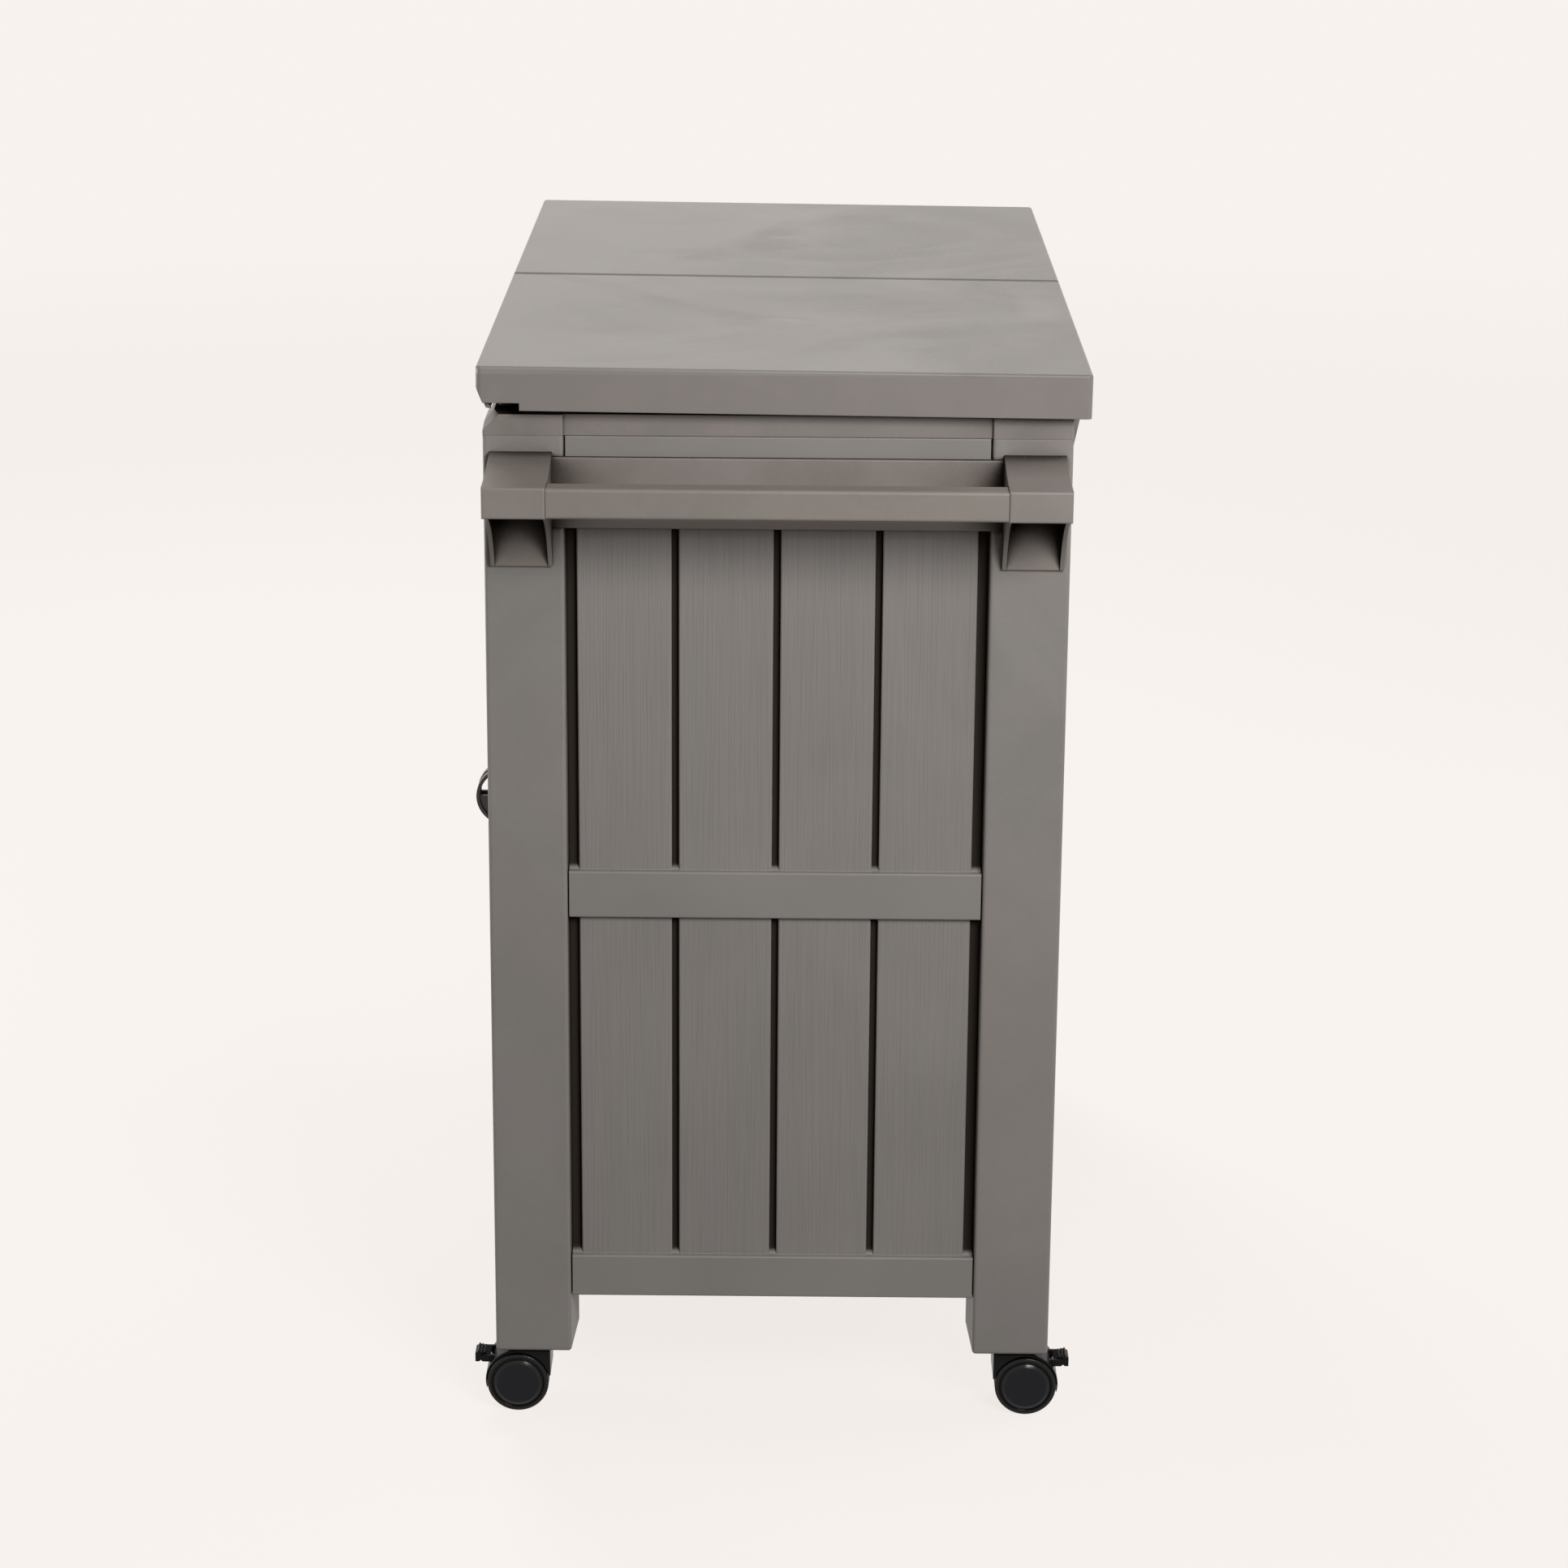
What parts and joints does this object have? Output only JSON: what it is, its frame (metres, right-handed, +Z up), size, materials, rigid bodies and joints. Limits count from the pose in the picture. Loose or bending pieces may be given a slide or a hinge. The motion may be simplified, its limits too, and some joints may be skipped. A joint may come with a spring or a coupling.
{
  "type": "outdoor bar cart",
  "caption": "Resin patio bar cart on braked casters: plank-panelled cabinet with hinged doors, split lift-up lids over trays and an end handle bar.",
  "frame": {"origin": "on the floor, under the middle of the whole cart's box", "axes": "+Z up, +X towards the handle end, -Y towards the doors, +Y towards the lid hinges"},
  "size_m": [0.946, 0.528, 0.9035],
  "materials": {
    "taupe_resin": "satin moulded resin",
    "plank_resin": "resin with fine vertical wood grain",
    "lid_resin": "satin moulded resin with flow clouds",
    "handle_resin": "satin moulded resin",
    "tray_resin": "satin moulded resin",
    "black_nylon": "satin black",
    "black_wheel": "satin black with a matt tread",
    "black_metal": "dark gunmetal paint",
    "steel": "zinc plated",
    "rubber": "matt"
  },
  "bodies": {
    "cabinet": {"post_front_handle_end": "taupe_resin", "post_back_handle_end": "taupe_resin", "post_front_far_end": "taupe_resin", "post_back_far_end": "taupe_resin", "end_panel_handle_end": "plank_resin", "end_panel_far_end": "plank_resin", "back_panel": "plank_resin", "front_bottom_rail": "taupe_resin", "front_top_rail": "taupe_resin", "cabinet_floor": "taupe_resin", "middle_shelf": "taupe_resin", "shelf_supports": "taupe_resin", "top_frame": "taupe_resin", "lid_hinge_pins": "steel", "lid_bumpers": "rubber", "door_pivot_pins": "steel", "door_catch": "black_nylon", "tray_handle_end": "tray_resin", "lid_hinge_bracket_handle_end_1": "taupe_resin", "lid_hinge_bracket_handle_end_2": "taupe_resin", "tray_far_end": "tray_resin", "lid_hinge_bracket_far_end_1": "taupe_resin", "lid_hinge_bracket_far_end_2": "taupe_resin", "handle_frame": "handle_resin", "handle_bar": "handle_resin", "handle_screws": "steel", "caster_stem_front_handle_end": "steel", "caster_stem_back_handle_end": "steel", "caster_stem_front_far_end": "steel", "caster_stem_back_far_end": "steel"},
    "lid_handle_end": {"lid_handle_end": "lid_resin"},
    "door_handle_end": {"door_handle_end": "plank_resin", "door_pull_handle_end": "black_metal", "pull_screws_handle_end": "black_metal", "door_strike_handle_end": "steel"},
    "lid_far_end": {"lid_far_end": "lid_resin"},
    "door_far_end": {"door_far_end": "plank_resin", "door_pull_far_end": "black_metal", "pull_screws_far_end": "black_metal", "door_strike_far_end": "steel"},
    "caster_front_handle_end": {"caster_hood_front_handle_end": "black_nylon"},
    "wheels_front_handle_end": {"caster_wheels_front_handle_end": "black_wheel", "caster_axle_front_handle_end": "steel"},
    "pedal_front_handle_end": {"brake_pedal_front_handle_end": "black_nylon"},
    "caster_back_handle_end": {"caster_hood_back_handle_end": "black_nylon"},
    "wheels_back_handle_end": {"caster_wheels_back_handle_end": "black_wheel", "caster_axle_back_handle_end": "steel"},
    "pedal_back_handle_end": {"brake_pedal_back_handle_end": "black_nylon"},
    "caster_front_far_end": {"caster_hood_front_far_end": "black_nylon"},
    "wheels_front_far_end": {"caster_wheels_front_far_end": "black_wheel", "caster_axle_front_far_end": "steel"},
    "caster_back_far_end": {"caster_hood_back_far_end": "black_nylon"},
    "wheels_back_far_end": {"caster_wheels_back_far_end": "black_wheel", "caster_axle_back_far_end": "steel"}
  },
  "joints": [
    {"name": "lid_hinge_handle_end", "type": "hinge", "parent": "cabinet", "child": "lid_handle_end", "pos_m": [0.1785, 0.25025, 0.872], "axis": [-1, 0, 0], "range_deg": [0, 94.5]},
    {"name": "door_hinge_handle_end", "type": "hinge", "parent": "cabinet", "child": "door_handle_end", "pos_m": [0.309, -0.21025, 0.476], "axis": [0, 0, 1], "range_deg": [0, 100]},
    {"name": "lid_hinge_far_end", "type": "hinge", "parent": "cabinet", "child": "lid_far_end", "pos_m": [-0.2565, 0.25025, 0.872], "axis": [-1, 0, 0], "range_deg": [0, 94.5]},
    {"name": "door_hinge_far_end", "type": "hinge", "parent": "cabinet", "child": "door_far_end", "pos_m": [-0.387, -0.21025, 0.476], "axis": [0, 0, -1], "range_deg": [0, 100]},
    {"name": "caster_swivel_front_handle_end", "type": "hinge", "parent": "cabinet", "child": "caster_front_handle_end", "pos_m": [0.351, -0.189, 0.055], "axis": [0, 0, 1], "continuous": true},
    {"name": "wheel_spin_front_handle_end", "type": "hinge", "parent": "caster_front_handle_end", "child": "wheels_front_handle_end", "pos_m": [0.351, -0.2035, 0.026], "axis": [1, 0, 0], "continuous": true},
    {"name": "brake_front_handle_end", "type": "hinge", "parent": "caster_front_handle_end", "child": "pedal_front_handle_end", "pos_m": [0.351, -0.23294, 0.043], "axis": [1, 0, 0], "range_deg": [0, 12]},
    {"name": "caster_swivel_back_handle_end", "type": "hinge", "parent": "cabinet", "child": "caster_back_handle_end", "pos_m": [0.351, 0.2125, 0.055], "axis": [0, 0, 1], "continuous": true},
    {"name": "wheel_spin_back_handle_end", "type": "hinge", "parent": "caster_back_handle_end", "child": "wheels_back_handle_end", "pos_m": [0.351, 0.227, 0.026], "axis": [1, 0, 0], "continuous": true},
    {"name": "brake_back_handle_end", "type": "hinge", "parent": "caster_back_handle_end", "child": "pedal_back_handle_end", "pos_m": [0.351, 0.25645, 0.043], "axis": [-1, 0, 0], "range_deg": [0, 12]},
    {"name": "caster_swivel_front_far_end", "type": "hinge", "parent": "cabinet", "child": "caster_front_far_end", "pos_m": [-0.429, -0.189, 0.055], "axis": [0, 0, 1], "continuous": true},
    {"name": "wheel_spin_front_far_end", "type": "hinge", "parent": "caster_front_far_end", "child": "wheels_front_far_end", "pos_m": [-0.429, -0.2035, 0.026], "axis": [1, 0, 0], "continuous": true},
    {"name": "caster_swivel_back_far_end", "type": "hinge", "parent": "cabinet", "child": "caster_back_far_end", "pos_m": [-0.429, 0.2125, 0.055], "axis": [0, 0, 1], "continuous": true},
    {"name": "wheel_spin_back_far_end", "type": "hinge", "parent": "caster_back_far_end", "child": "wheels_back_far_end", "pos_m": [-0.429, 0.227, 0.026], "axis": [1, 0, 0], "continuous": true}
  ]
}
